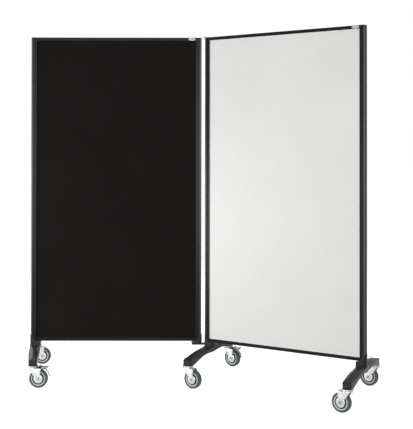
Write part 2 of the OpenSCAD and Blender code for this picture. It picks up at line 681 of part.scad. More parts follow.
// Brake pedal: pressed plate on its pin, a turned-up toe and a tongue round the tread
module pedal() {
  tongue_r = wheel_r + tongue_gap;
  tongue_w = pedal_w - 6;
  toe_h = 9;
  drop_x = trail + 34;
  drop_z = wheel_r + 0.72 * tongue_r;     // where the drop meets the curved tongue
  end_rise = 0.04;                        // slope of the tongue's lower end above the axle
  far = 2 * wheel_d;
  difference() {
    union() {
      translate([0, pedal_w / 2, 0]) rotate([90, 0, 0]) linear_extrude(pedal_w) {
        translate([pedal_pin_x, pedal_z]) square([pedal_reach - pedal_pin_x, pedal_t]);
        translate([pedal_pin_x, pedal_pin_z]) circle(pedal_boss_r);
        translate([pedal_reach - pedal_t, pedal_z]) square([pedal_t, toe_h]);
      }
      translate([0, tongue_w / 2, 0]) rotate([90, 0, 0]) linear_extrude(tongue_w) {
        translate([drop_x, drop_z]) square([pedal_t + 1, pedal_z - drop_z + 1]);
        intersection() {
          difference() {
            translate([trail, wheel_r]) circle(tongue_r + pedal_t, $fn = 120);
            translate([trail, wheel_r]) circle(tongue_r, $fn = 120);
          }
          translate([trail, wheel_r]) polygon([[0, 0], [far, end_rise * far], [far, far],
            [drop_x - trail + 1, far], [drop_x - trail, drop_z - wheel_r - 1]]);
        }
      }
    }
    translate([pedal_pin_x, pedal_w, pedal_pin_z]) rotate([90, 0, 0])
      cylinder(h = 2 * pedal_w, r = pedal_pin_r + run_fit);
  }
}

// ---- Nodes: the left panel and what it carries ----
module on_left_base() hinge_frame() translate([-outer_post_x, 0, 0]) children();
module on_left_hinge_post() hinge_frame() mirror([1, 0, 0]) translate([hinge_post_x, 0, 0]) children();
module on_middle_base() hinge_frame() rotate([0, 0, -fold_angle])
  translate([hinge_post_x, 0, 0]) children();
module on_right_base() hinge_frame() rotate([0, 0, -fold_angle])
  translate([outer_post_x, 0, 0]) children();

module left_outer_post() color([0.14, 0.14, 0.13]) in_left_panel() at_end(-1) post();
module left_hinge_post() color([0.14, 0.14, 0.13]) in_left_panel() at_end(1) post();
module left_top_rail() color([0.12, 0.12, 0.11]) in_left_panel() top_rail();
module left_bottom_rail() color([0.12, 0.12, 0.11]) in_left_panel() bottom_rail();
module left_core() color([0.72, 0.6, 0.42]) in_left_panel() core();
module left_fabric_face() color([0.1, 0.1, 0.09]) in_left_panel() face(-1);
module left_board_face() color([0.9, 0.9, 0.89]) in_left_panel() face(1);
module left_post_caps() color([0.08, 0.08, 0.08]) in_left_panel() {
  at_end(-1) post_cap(false);
  at_end(1) post_cap(true);
}
module left_corner_screws() color("silver") in_left_panel() corner_screws();
module left_badge() color([0.8, 0.83, 0.9]) in_left_panel() badge();
module left_base() color([0.24, 0.24, 0.23]) on_left_base() base(1);
module left_hinge_foot() color([0.24, 0.24, 0.23]) on_left_hinge_post() hinge_foot();
module left_bottom_link() color([0.1, 0.1, 0.1]) on_left_hinge_post() bottom_link();
module left_top_plate() color([0.8, 0.8, 0.8]) on_left_hinge_post() top_plate(false);
module left_bolts() color("silver") {
  on_left_base() base_bolt(1);
  on_left_hinge_post() {
    foot_bolts();
    top_bolt();
  }
}
module left_caster_stems() color("silver") {
  at_caster(casters[0]) stem();
  at_caster(casters[1]) stem();
}

// ---- Nodes: the right panel and what it carries ----
module right_hinge_post() color([0.14, 0.14, 0.13]) in_right_panel() at_end(-1) post();
module right_outer_post() color([0.14, 0.14, 0.13]) in_right_panel() at_end(1) post();
module right_top_rail() color([0.12, 0.12, 0.11]) in_right_panel() top_rail();
module right_bottom_rail() color([0.12, 0.12, 0.11]) in_right_panel() bottom_rail();
module right_core() color([0.72, 0.6, 0.42]) in_right_panel() core();
module right_board_face() color([0.9, 0.9, 0.89]) in_right_panel() face(-1);
module right_fabric_face() color([0.1, 0.1, 0.09]) in_right_panel() face(1);
module right_post_caps() color([0.08, 0.08, 0.08]) in_right_panel() {
  at_end(-1) post_cap(true);
  at_end(1) post_cap(false);
}
module right_corner_screws() color("silver") in_right_panel() corner_screws();
module right_badge() color([0.8, 0.83, 0.9]) in_right_panel() badge();
module middle_base() color([0.24, 0.24, 0.23]) on_middle_base() base(1, ear = true);
module right_base() color([0.24, 0.24, 0.23]) on_right_base() base(-1);
module right_top_plate() color([0.8, 0.8, 0.8]) on_middle_base() top_plate(true);
module hinge_pins() color("silver") hinge_frame() pins();
module right_bolts() color("silver") {
  on_middle_base() {
    base_bolt(1);
    top_bolt();
  }
  on_right_base() base_bolt(-1);
}
module right_caster_stems() color("silver") for (k = [2 : 5]) at_caster(casters[k]) stem();

// ---- Nodes: the six casters ----
module fork_of(c) color([0.85, 0.85, 0.84]) at_caster(c) fork(c[4]);
module axle_of(c) color("silver") at_caster(c) axle(c[4]);
module wheel_of(c) color([0.76, 0.7, 0.6]) at_caster(c) wheel();
module tyre_of(c) color([0.26, 0.33, 0.33]) at_caster(c) tyre();
module pedal_of(c) color([0.8, 0.8, 0.78]) at_caster(c) pedal();

left_outer_post();
left_hinge_post();
left_top_rail();
left_bottom_rail();
left_core();
left_fabric_face();
left_board_face();
left_post_caps();
left_corner_screws();
left_badge();
left_base();
left_hinge_foot();
left_bottom_link();
left_top_plate();
left_bolts();
left_caster_stems();
right_hinge_post();
right_outer_post();
right_top_rail();
right_bottom_rail();
right_core();
right_board_face();
right_fabric_face();
right_post_caps();
right_corner_screws();
right_badge();
middle_base();
right_base();
right_top_plate();
hinge_pins();
right_bolts();
right_caster_stems();
for (c = casters) {
  fork_of(c);
  axle_of(c);
  wheel_of(c);
  tyre_of(c);
  if (c[4]) pedal_of(c);
}
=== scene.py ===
import json
import math

import bmesh
import bpy
import numpy as np
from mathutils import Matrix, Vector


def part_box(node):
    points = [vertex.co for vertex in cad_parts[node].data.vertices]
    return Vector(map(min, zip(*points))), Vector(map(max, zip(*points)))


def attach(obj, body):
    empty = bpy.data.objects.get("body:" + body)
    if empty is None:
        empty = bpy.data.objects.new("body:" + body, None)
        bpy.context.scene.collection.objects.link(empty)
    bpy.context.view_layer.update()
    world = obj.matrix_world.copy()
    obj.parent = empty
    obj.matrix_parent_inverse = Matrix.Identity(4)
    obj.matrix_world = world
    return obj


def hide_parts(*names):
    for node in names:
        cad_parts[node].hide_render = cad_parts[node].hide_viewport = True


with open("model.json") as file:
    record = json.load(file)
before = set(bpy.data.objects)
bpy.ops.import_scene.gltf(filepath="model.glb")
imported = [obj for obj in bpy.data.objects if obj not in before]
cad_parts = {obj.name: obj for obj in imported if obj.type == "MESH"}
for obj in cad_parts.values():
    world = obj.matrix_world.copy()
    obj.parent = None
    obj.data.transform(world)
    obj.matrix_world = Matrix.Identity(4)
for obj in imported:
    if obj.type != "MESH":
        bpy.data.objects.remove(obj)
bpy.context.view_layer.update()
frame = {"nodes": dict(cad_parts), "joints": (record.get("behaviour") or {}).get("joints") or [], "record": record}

# ---- Camera ----
# Camera at chest height in front of the hinge, almost square to the left panel. It looks up by
# half a degree, and a lens shift raises the picture, so that the posts stay nearly upright.
hinge = next(j for j in frame["joints"] if j["name"] == "panel_hinge")
hinge_xy = np.array(hinge["pos_m"][:2])
photo_height = 429
focal_px = 897.9
centre_px = 148.7
camera_distance = 4.854
camera_right = 0.0007
camera_height = 1.1718
camera_pan, camera_tilt, camera_roll = -0.0028, 0.0100, 0.0013


def placed(name, data):
    """A new object of this data, in the scene."""
    made = bpy.data.objects.new(name, data)
    bpy.context.scene.collection.objects.link(made)
    return made


eye = placed("camera", bpy.data.cameras.new("camera"))
eye.data.sensor_width = 36
eye.data.lens = focal_px * eye.data.sensor_width / photo_height
eye.data.shift_y = (centre_px - photo_height / 2) / photo_height
eye.location = (hinge_xy[0] + camera_right, hinge_xy[1] - camera_distance, camera_height)
eye.rotation_euler = (math.radians(90) + camera_tilt, -camera_roll, camera_pan)
bpy.context.scene.camera = eye
bpy.context.scene.view_settings.view_transform = "Standard"


# ---- Floor and light ----
# A white studio floor under a white surround. A lamp low on the left brightens the near edge of
# the white board, a big soft box behind the camera gives the posts their long highlights, and
# another one lights the back.
floor_grey, floor_lift, room_strength = 0.6, 0.84, 0.27


def plain_disc(name, radius, sides=96):
    """A flat disc: sides points at equal angles on a circle."""
    turn = np.linspace(0, 2 * math.pi, sides, endpoint=False)
    rim = np.stack([radius * np.cos(turn), radius * np.sin(turn), np.zeros(sides)], 1)
    mesh = bpy.data.meshes.new(name)
    mesh.from_pydata(rim.tolist(), [], [list(range(sides))])
    return placed(name, mesh)


def set_inputs(node, **values):
    """Sets a shader node's inputs by their labels, which are written with _ for a blank."""
    for label, value in values.items():
        node.inputs[label.replace("_", " ")].default_value = value
    return node


def maths(tree, operation, *values):
    """One step of arithmetic in a node tree; each value is a number or another node's output."""
    step = tree.nodes.new("ShaderNodeMath")
    step.operation = operation
    for given, value in zip(step.inputs, values):
        if isinstance(value, float):
            given.default_value = value
        else:
            tree.links.new(value, given)
    return step.outputs[0]


def seen_directly(tree):
    """1 where the camera, a mirror or clear glass sees the surface, 0 where light lands on it."""
    path = tree.nodes.new("ShaderNodeLightPath").outputs
    either = maths(tree, "MAXIMUM", path["Is Camera Ray"], path["Is Glossy Ray"])
    return maths(tree, "MAXIMUM", either, path["Is Transmission Ray"])


floor = plain_disc("floor", 60.0)
floor_paint = bpy.data.materials.new("floor_paint")
floor_paint.use_nodes = True
tree = floor_paint.node_tree
floor_skin = set_inputs(tree.nodes["Principled BSDF"], Base_Color=(floor_grey,) * 3 + (1,),
                        Roughness=0.9, Specular_IOR_Level=0.1, Emission_Color=(1, 1, 1, 1))
tree.links.new(maths(tree, "MULTIPLY", seen_directly(tree), floor_lift),
               floor_skin.inputs["Emission Strength"])
floor.data.materials.append(floor_paint)

surround = bpy.data.worlds.new("surround")
bpy.context.scene.world = surround
surround.use_nodes = True
tree = surround.node_tree
room_light = set_inputs(tree.nodes["Background"], Color=(1, 1, 1, 1), Strength=room_strength)
white = set_inputs(tree.nodes.new("ShaderNodeBackground"), Color=(1, 1, 1, 1))
choose = tree.nodes.new("ShaderNodeMixShader")
tree.links.new(seen_directly(tree), choose.inputs["Fac"])
tree.links.new(room_light.outputs[0], choose.inputs[1])
tree.links.new(white.outputs[0], choose.inputs[2])
tree.links.new(choose.outputs[0], tree.nodes["World Output"].inputs["Surface"])


def soft_lamp(name, place, aim, size, power):
    """A lamp of a width and height at place, facing aim."""
    lamp = placed(name, bpy.data.lights.new(name, "AREA"))
    lamp.data.shape = "RECTANGLE"
    lamp.data.size, lamp.data.size_y = size
    lamp.data.energy = power
    lamp.location = place
    away = np.array(place, float) - np.array(aim, float)
    lamp.rotation_euler = (math.atan2(math.hypot(away[0], away[1]), away[2]), 0,
                           math.atan2(away[1], away[0]) + math.pi / 2)


soft_lamp("side_lamp", (-3.2, -0.9, 0.6), (0.1, 0.0, 0.7), (1.9, 1.2), 59)
soft_lamp("front_box", (-0.75, -5.2, 1.25), (0.0, 0.1, 0.95), (2.6, 2.4), 113)
soft_lamp("back_lamp", (-1.6, 3.8, 2.8), (0.0, 0.1, 0.9), (2.4, 2.4), 105)


# ---- Black frames ----
# Each panel hangs in two upright posts and two rails of extruded aluminium, anodised black.
# Drawing through the die leaves fine lines along their length, and the posts' outer corners are
# rubbed bright. They keep their CAD shapes.
def effect(name, inputs, outputs):
    """An empty shader node group with its named sockets, and its two end nodes."""
    group = bpy.data.node_groups.new(name, "ShaderNodeTree")
    for label, kind, value in inputs:
        socket = group.interface.new_socket(label, in_out="INPUT", socket_type=kind)
        if value is not None:
            socket.default_value = value
    for label, kind in outputs:
        group.interface.new_socket(label, in_out="OUTPUT", socket_type=kind)
    return group, group.nodes.new("NodeGroupInput"), group.nodes.new("NodeGroupOutput")


def skin_effect():
    """Broad cloudy tone from one noise, and the bump of a fine grain from another."""
    group, given, out = effect(
        "skin",
        [("Vector", "NodeSocketVector", None), ("Cloud Scale", "NodeSocketFloat", 4.0),
         ("Grain Scale", "NodeSocketFloat", 900.0), ("Depth", "NodeSocketFloat", 0.0001)],
        [("Tone", "NodeSocketFloat"), ("Normal", "NodeSocketVector")])
    nodes, links = group.nodes, group.links
    cloud = set_inputs(nodes.new("ShaderNodeTexNoise"), Detail=5.0, Roughness=0.6)
    grain = set_inputs(nodes.new("ShaderNodeTexNoise"), Detail=2.0)
    bump = set_inputs(nodes.new("ShaderNodeBump"), Strength=1.0)
    links.new(given.outputs["Vector"], cloud.inputs["Vector"])
    links.new(given.outputs["Vector"], grain.inputs["Vector"])
    links.new(given.outputs["Cloud Scale"], cloud.inputs["Scale"])
    links.new(given.outputs["Grain Scale"], grain.inputs["Scale"])
    links.new(given.outputs["Depth"], bump.inputs["Distance"])
    links.new(grain.outputs["Fac"], bump.inputs["Height"])
    links.new(cloud.outputs["Fac"], out.inputs["Tone"])
    links.new(bump.outputs["Normal"], out.inputs["Normal"])
    return group


skin = skin_effect()


def colour_mix(tree, share, first, second):
    """Two colours mixed by a share; each is a colour or another node's output."""
    mix = tree.nodes.new("ShaderNodeMix")
    mix.data_type = "RGBA"
    tree.links.new(share, mix.inputs[0])
    for given, value in zip(mix.inputs[6:8], (first, second)):
        if isinstance(value, tuple):
            given.default_value = (*value, 1)
        else:
            tree.links.new(value, given)
    return mix.outputs[2]


def finish_of(name, dark, light, roughness, metallic=0.0, turn=0.0, stretch=(1, 1, 1), cloud=4.0,
              grain=900.0, depth=0.0001, **constants):
    """A material whose colour and roughness drift between two values with the skin's tone.
    turn and stretch lay the grain along the piece, cloud, grain and depth go to the skin, and
    the constants to the shader."""
    material = bpy.data.materials.new(name)
    material.use_nodes = True
    tree = material.node_tree
    nodes, links = tree.nodes, tree.links
    shader = set_inputs(nodes["Principled BSDF"], Metallic=metallic, **constants)
    place = nodes.new("ShaderNodeTexCoord")
    lay = set_inputs(nodes.new("ShaderNodeMapping"), Rotation=(0, 0, turn), Scale=stretch)
    lay.vector_type = "TEXTURE"
    worn = nodes.new("ShaderNodeGroup")
    worn.node_tree = skin
    set_inputs(worn, Cloud_Scale=cloud, Grain_Scale=grain, Depth=depth)
    spread = set_inputs(nodes.new("ShaderNodeMapRange"), From_Min=0.35, From_Max=0.65)
    dull = set_inputs(nodes.new("ShaderNodeMapRange"), To_Min=roughness[0], To_Max=roughness[1])
    links.new(place.outputs["Object"], lay.inputs["Vector"])
    links.new(lay.outputs["Vector"], worn.inputs["Vector"])
    links.new(worn.outputs["Tone"], spread.inputs["Value"])
    links.new(spread.outputs["Result"], dull.inputs["Value"])
    links.new(colour_mix(tree, spread.outputs["Result"], dark, light), shader.inputs["Base Color"])
    links.new(dull.outputs["Result"], shader.inputs["Roughness"])
    links.new(worn.outputs["Normal"], shader.inputs["Normal"])
    return material


def dress(material, *names):
    """Gives CAD nodes their material."""
    for name in names:
        node = frame["nodes"][name]
        node.data.materials.clear()
        node.data.materials.append(material)


MM = 0.001


def spot(xy, turn=0.0, flip=1):
    """A place in the part's frame: an origin on the floor in metres, a turn, and a side."""
    return np.array(xy, float), turn, flip


def laid(points, place):
    """Points in millimetres, flipped in x and turned about z, then moved to the place."""
    xy, turn, flip = place
    p = np.asarray(points, float).reshape(-1, 3) * MM
    x, y = p[:, 0] * flip, p[:, 1]
    c, s = math.cos(turn), math.sin(turn)
    return np.stack([xy[0] + c * x - s * y, xy[1] + s * x + c * y, p[:, 2]], 1)


right_rail = next(m for m in frame["record"]["mounts"] if m["name"] == "right_rail_top")
along_right = np.array(right_rail["pos_m"][:2]) - hinge_xy
fold = math.atan2(along_right[1], along_right[0])
panel_half = np.linalg.norm(along_right)
toward_right = along_right / panel_half
hinge_post_x = 28                      # from the hinge axis to the middle of a post beside it
bright_x, bright_y = -11, 14.2         # a post's rounded outer corners, from its middle
outer_post = 2 * panel_half / MM - hinge_post_x
left_outer = spot(hinge_xy - (outer_post * MM, 0))
left_hinged = spot(hinge_xy - (hinge_post_x * MM, 0), 0, -1)
right_hinged = spot(hinge_xy + toward_right * hinge_post_x * MM, fold)
right_outer = spot(hinge_xy + toward_right * outer_post * MM, fold, -1)


def polish_effect():
    """1 on an upright line, fading to 0 between 3 and 5 mm from it."""
    group, given, out = effect(
        "polish", [("Vector", "NodeSocketVector", None), ("Line", "NodeSocketVector", None)],
        [("Mask", "NodeSocketFloat")])
    nodes, links = group.nodes, group.links
    flat = nodes.new("ShaderNodeVectorMath")
    flat.operation = "MULTIPLY"
    flat.inputs[1].default_value = (1, 1, 0)
    away = nodes.new("ShaderNodeVectorMath")
    away.operation = "DISTANCE"
    fade = set_inputs(nodes.new("ShaderNodeMapRange"), From_Min=3 * MM, From_Max=5 * MM,
                      To_Min=1.0, To_Max=0.0)
    links.new(given.outputs["Vector"], flat.inputs[0])
    links.new(flat.outputs[0], away.inputs[0])
    links.new(given.outputs["Line"], away.inputs[1])
    links.new(away.outputs["Value"], fade.inputs["Value"])
    links.new(fade.outputs["Result"], out.inputs["Mask"])
    return group


polish = polish_effect()
black = dict(dark=(0.006, 0.006, 0.006), light=(0.010, 0.010, 0.0095), roughness=(0.25, 0.33),
             cloud=1.5, grain=700, depth=0.00004, Specular_IOR_Level=0.12)


def post_finish(name, place):
    """The black of a post, with its two rounded outer corners rubbed to a higher polish."""
    material = finish_of("anodised_" + name, stretch=(1, 1, 60), **black)
    nodes, links = material.node_tree.nodes, material.node_tree.links
    masks = []
    for x, y, z in laid([(bright_x, -bright_y, 0), (bright_x, bright_y, 0)], place):
        line = nodes.new("ShaderNodeGroup")
        line.node_tree = polish
        set_inputs(line, Line=(x, y, z))
        links.new(nodes["Texture Coordinate"].outputs["Object"], line.inputs["Vector"])
        masks.append(line.outputs["Mask"])
    shine = set_inputs(nodes.new("ShaderNodeMapRange"), To_Min=black["Specular_IOR_Level"],
                       To_Max=0.75)
    links.new(maths(material.node_tree, "MAXIMUM", *masks), shine.inputs["Value"])
    links.new(shine.outputs["Result"], nodes["Principled BSDF"].inputs["Specular IOR Level"])
    return material


for name, place in (("left_outer_post", left_outer), ("left_hinge_post", left_hinged),
                    ("right_hinge_post", right_hinged), ("right_outer_post", right_outer)):
    dress(post_finish(name, place), name)
dress(finish_of("anodised_left_rail", stretch=(60, 1, 1), **black), "left_top_rail",
      "left_bottom_rail")
dress(finish_of("anodised_right_rail", stretch=(60, 1, 1), turn=fold, **black),
      "right_top_rail", "right_bottom_rail")


# ---- Infill ----
# Between the frames sit a tack board wrapped in black cloth, a fibre core and a white
# dry-erase board. The slots of the posts and rails hold their edges. Like every new piece
# they are drawn in millimetres in a small frame of their own, and then laid in their place.
def grid_faces(rows, cols, close_rows=False):
    """Quads between neighbouring rows of points; every row is a closed ring."""
    i = np.arange(rows if close_rows else rows - 1)[:, None]
    j = np.arange(cols)
    below, above = i * cols, (i + 1) % rows * cols
    quads = [below + j, below + (j + 1) % cols, above + (j + 1) % cols, above + j]
    return np.stack(quads, -1).reshape(-1, 4).tolist()


def open_faces(rows, cols):
    """Quads of a grid whose rows don't close."""
    a = np.arange(rows - 1)[:, None] * cols + np.arange(cols - 1)
    return np.stack([a, a + 1, a + cols + 1, a + cols], -1).reshape(-1, 4).tolist()


def tube(rings, close_rows=False, ends=True):
    """A skin through rings of points (rows, cols, 3), with flat ends."""
    rings = np.asarray(rings, float)
    rows, cols = rings.shape[:2]
    faces = grid_faces(rows, cols, close_rows)
    if ends and not close_rows:
        faces += [list(range(cols)), list(range((rows - 1) * cols, rows * cols))]
    return rings.reshape(-1, 3), faces


def together(*shells):
    """Several shells as one: their points stacked and their faces renumbered."""
    points, faces, count = [], [], 0
    for p, f in shells:
        points.append(p)
        faces += [[k + count for k in face] for face in f]
        count += len(p)
    return np.concatenate(points), faces


def clean_mesh(name, shell, place):
    """A smooth mesh from a shell laid in its place: doubles merged, faces outward."""
    points, faces = shell
    mesh = bpy.data.meshes.new(name)
    mesh.from_pydata(laid(points, place).tolist(), [], faces)
    work = bmesh.new()
    work.from_mesh(mesh)
    bmesh.ops.remove_doubles(work, verts=work.verts, dist=2e-6)
    bmesh.ops.recalc_face_normals(work, faces=work.faces)
    work.to_mesh(mesh)
    work.free()
    mesh.shade_smooth()
    return mesh


def thickened(made, wall):
    """Gives a sheet a wall behind its outer face."""
    thick = made.modifiers.new("wall", "SOLIDIFY")
    thick.thickness, thick.offset = wall * MM, -1


def new_piece(name, shell, place, material, body, replaces=(), sharp=35, bevel=None,
              wall=None):
    """A finished object from a shell, its edges sharp past an angle."""
    mesh = clean_mesh(name, shell, place)
    mesh.set_sharp_from_angle(angle=math.radians(sharp))
    made = placed(name, mesh)
    if wall:
        thickened(made, wall)
    if bevel:
        round_off = made.modifiers.new("edges", "BEVEL")
        round_off.width, round_off.segments = bevel * MM, 2
        round_off.limit_method, round_off.angle_limit = "ANGLE", math.radians(35)
        round_off.harden_normals = True
    made.data.materials.append(material)
    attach(made, body)
    if replaces:
        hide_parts(*replaces)
    return made


def rounded(corners, reach, steps=4):
    """Closed outlines (..., n, 2) with each corner cut by a parabola: it leaves one side reach
    before the corner, bends towards it and joins the next side reach after it."""
    p = np.asarray(corners, float)
    r = np.broadcast_to(np.asarray(reach, float), p.shape[:-1])[..., None]

    def towards(q):
        d = q - p
        length = np.linalg.norm(d, axis=-1, keepdims=True)
        return p + d * np.minimum(r / np.maximum(length, 1e-9), 0.5)

    a, b = towards(np.roll(p, 1, axis=-2)), towards(np.roll(p, -1, axis=-2))
    t = np.linspace(0, 1, steps + 1)[:, None]
    bend = ((1 - t) ** 2 * a[..., None, :] + 2 * t * (1 - t) * p[..., None, :]
            + t ** 2 * b[..., None, :])
    return bend.reshape(*p.shape[:-2], -1, 2)


def prism(outline, low, high):
    """A closed outline (n, 2) carried from one height to another."""
    outline = np.asarray(outline, float)
    rings = [np.column_stack([outline, np.full(len(outline), z)]) for z in (low, high)]
    return tube(rings)


def lathe(profile, sides=64, axle=None, loop=True):
    """Rows (radius, height) turned about z, or about the cross axis through axle = (x, z)."""
    profile = np.asarray(profile, float)
    turn = np.linspace(0, 2 * math.pi, sides, endpoint=False)
    r, h = profile[:, :1], np.repeat(profile[:, 1:], sides, 1)
    a, b = r * np.cos(turn), r * np.sin(turn)
    if axle is None:
        rings = np.stack([a, b, h], -1)
    else:
        rings = np.stack([axle[0] + a, h, axle[1] + b], -1)
    return tube(rings, close_rows=loop, ends=False)


def sized(node, axis):
    """Lowest and highest value of a CAD node on one axis, in millimetres."""
    low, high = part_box(node)
    return low[axis] / MM, high[axis] / MM


left_panel = spot(hinge_xy - (panel_half, 0))
right_panel = spot(hinge_xy + along_right, fold)


def weave_effect():
    """Plain weave: square cells in a chess order, each one a half wave of the yarn on top."""
    group, given, out = effect(
        "weave", [("Vector", "NodeSocketVector", None), ("Yarn", "NodeSocketFloat", 0.0011)],
        [("Height", "NodeSocketFloat")])
    split = group.nodes.new("ShaderNodeSeparateXYZ")
    group.links.new(given.outputs["Vector"], split.inputs[0])

    def half_waves(distance):
        wave = maths(group, "SINE", maths(group, "MULTIPLY", distance, math.pi))
        return maths(group, "ABSOLUTE", wave)

    across = maths(group, "DIVIDE", split.outputs["X"], given.outputs["Yarn"])
    up = maths(group, "DIVIDE", split.outputs["Y"], given.outputs["Yarn"])
    cell = maths(group, "ADD", maths(group, "FLOOR", across), maths(group, "FLOOR", up))
    over = maths(group, "PINGPONG", cell, 1.0)
    warp = maths(group, "MULTIPLY", half_waves(across), over)
    weft = maths(group, "MULTIPLY", half_waves(up), maths(group, "SUBTRACT", 1.0, over))
    group.links.new(maths(group, "ADD", warp, weft), out.inputs["Height"])
    return group


def cloth_finish():
    """Black cloth: weave bump and tone from the UV map, soft sheen, slight mottling."""
    material = bpy.data.materials.new("tack_cloth")
    material.use_nodes = True
    tree = material.node_tree
    nodes, links = tree.nodes, tree.links
    shader = set_inputs(nodes["Principled BSDF"], Roughness=0.95, Specular_IOR_Level=0.05,
                        Sheen_Weight=0.05, Sheen_Roughness=0.6)
    thread_map = nodes.new("ShaderNodeUVMap")
    weave = nodes.new("ShaderNodeGroup")
    weave.node_tree = weave_effect()
    cloud = set_inputs(nodes.new("ShaderNodeTexNoise"), Scale=2.5, Detail=6.0)
    bump = set_inputs(nodes.new("ShaderNodeBump"), Distance=0.3 * MM)
    links.new(thread_map.outputs["UV"], weave.inputs["Vector"])
    links.new(thread_map.outputs["UV"], cloud.inputs["Vector"])
    shade = maths(tree, "MULTIPLY_ADD", weave.outputs["Height"], 0.55, cloud.outputs["Fac"])
    colour = colour_mix(tree, shade, (0.0035, 0.0031, 0.0028), (0.0105, 0.0094, 0.0088))
    links.new(colour, shader.inputs["Base Color"])
    links.new(weave.outputs["Height"], bump.inputs["Height"])
    links.new(bump.outputs["Normal"], shader.inputs["Normal"])
    return material


cloth = cloth_finish()
fibre = finish_of("fibre_board", (0.34, 0.24, 0.14), (0.42, 0.31, 0.19), (0.8, 0.9), cloud=30,
                  grain=500, depth=0.0002)
board_left, board_right = sized("left_fabric_face", 0)
board_front, board_back = sized("left_fabric_face", 1)
board_low, board_high = sized("left_fabric_face", 2)
board_width = board_right - board_left
cloth_front = hinge_xy[1] / MM - board_front
cloth_back = hinge_xy[1] / MM - board_back
cloth_wall, cloth_slack = 0.7, 0.12


def stretched_cloth(side, steps=(44, 72)):
    """The cloth's outer face on a grid, turned back over the board's four edges. It lies
    almost flat: a slack of at most twice cloth_slack, from three sine waves, keeps it from
    looking like glass."""
    u = np.linspace(-0.5, 0.5, steps[0] + 1) * board_width
    v = np.linspace(board_low, board_high, steps[1] + 1)
    u = np.concatenate([[u[0]], u, [u[-1]]])
    v = np.concatenate([[v[0]], v, [v[-1]]])
    x, z = np.meshgrid(u, v)
    waves = (np.sin(x / 61) * np.sin(z / 83) + 0.5 * np.sin(x / 23 + z / 37)
             + 0.3 * np.sin(z / 11 - x / 17))
    slack = cloth_slack * waves / 1.8 + cloth_slack
    depth = np.full(x.shape, cloth_front) - slack
    back = cloth_back + 0.2
    depth[0] = depth[-1] = back
    depth[:, 0] = depth[:, -1] = back
    points = np.stack([x, side * depth, z], -1).reshape(-1, 3)
    quads = open_faces(*x.shape)
    return points, [quad[::-1] for quad in quads] if side > 0 else quads


def cloth_piece(name, place, side, body, node):
    """The sheet as an object with a UV map in metres, for the weave."""
    points, quads = stretched_cloth(side)
    mesh = bpy.data.meshes.new(name)
    mesh.from_pydata(laid(points, place).tolist(), [], quads)
    uv = mesh.uv_layers.new(name="threads")
    corner = np.zeros(len(mesh.loops), np.int32)
    mesh.loops.foreach_get("vertex_index", corner)
    uv.data.foreach_set("uv", (points[corner][:, [0, 2]] * MM).ravel())
    mesh.shade_smooth()
    mesh.set_sharp_from_angle(angle=math.radians(60))
    made = placed(name, mesh)
    thickened(made, cloth_wall)
    made.data.materials.append(cloth)
    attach(made, body)
    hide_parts(node)


def tack_board(name, place, side, body):
    """The thin board that the cloth is wrapped round, its edges eased."""
    inset = cloth_wall + 0.3
    half = board_width / 2 - inset
    low, high = sorted([side * (cloth_back + 0.1), side * (cloth_front - inset - 0.1)])
    outline = rounded([[-half, low], [half, low], [half, high], [-half, high]], 0.5, 2)
    new_piece(name, prism(outline, board_low + inset, board_high - inset), place, fibre, body)


cloth_piece("left_cloth", left_panel, -1, "left_panel", "left_fabric_face")
cloth_piece("right_cloth", right_panel, 1, "right_panel", "right_fabric_face")
tack_board("left_tack_board", left_panel, -1, "left_panel")
tack_board("right_tack_board", right_panel, 1, "right_panel")
dress(fibre, "left_core", "right_core")
melamine = finish_of("white_board", (0.76, 0.76, 0.745), (0.79, 0.79, 0.775), (0.34, 0.4),
                     cloud=3, grain=260, depth=0.00003, Specular_IOR_Level=0.3)
dress(melamine, "left_board_face", "right_board_face")


# ---- Post caps ----
# Moulded black plastic caps on the posts' top ends: a plate with soft edges and two plugs that
# hold it in the tube. They keep their CAD shapes.
moulded = finish_of("moulded_black", (0.014, 0.014, 0.014), (0.022, 0.022, 0.022), (0.42, 0.5),
                    cloud=20, grain=1500, depth=0.00006)
dress(moulded, "left_post_caps", "right_post_caps")

# ---- Screws, pins and hinge plates ----
# Zinc-plated steel fasteners and top hinge plates, slightly cloudy where the plating took
# unevenly, and the black link that carries the hinge at the bottom. They keep their CAD shapes.
zinc = finish_of("zinc_plate", (0.52, 0.53, 0.54), (0.66, 0.67, 0.67), (0.28, 0.4), metallic=1.0,
                 cloud=60, grain=1800, depth=0.00003)
dress(zinc, "left_corner_screws", "right_corner_screws", "left_bolts", "right_bolts",
      "hinge_pins", "left_top_plate", "right_top_plate")
dress(finish_of("link_black", (0.016, 0.016, 0.016), (0.026, 0.026, 0.025), (0.35, 0.45)),
      "left_bottom_link")

# ---- Badges ----
# A small blank oval on the front of each top rail: a bright pressed rim round a domed field of
# pale blue-grey enamel, stuck on beside the post.
badge_half_w, badge_half_h = 19, 7
badge_x, badge_y, badge_drop = 407.5, -11.4, 8.5
badge_z = sized("left_top_rail", 2)[1] - badge_drop
badge_rim = finish_of("badge_rim", (0.80, 0.81, 0.83), (0.88, 0.88, 0.89), (0.16, 0.24),
                      metallic=1.0, cloud=40, grain=900, depth=0.00002)
enamel = finish_of("badge_enamel", (0.34, 0.42, 0.58), (0.46, 0.53, 0.67), (0.12, 0.2), cloud=60,
                   grain=700, depth=0.00001, Coat_Weight=0.4, Coat_Roughness=0.08)


def oval_rings(profile):
    """Rings of the oval, each one set in by profile[:, 0] and standing out by profile[:, 1]."""
    turn = np.linspace(0, 2 * math.pi, 96, endpoint=False)
    inset, out = np.asarray(profile, float).T[:, :, None]
    x = badge_x + (badge_half_w - inset) * np.cos(turn)
    z = badge_z + (badge_half_h - inset) * np.sin(turn)
    y = np.broadcast_to(badge_y - out, x.shape)
    return np.stack([x, y, z], -1)


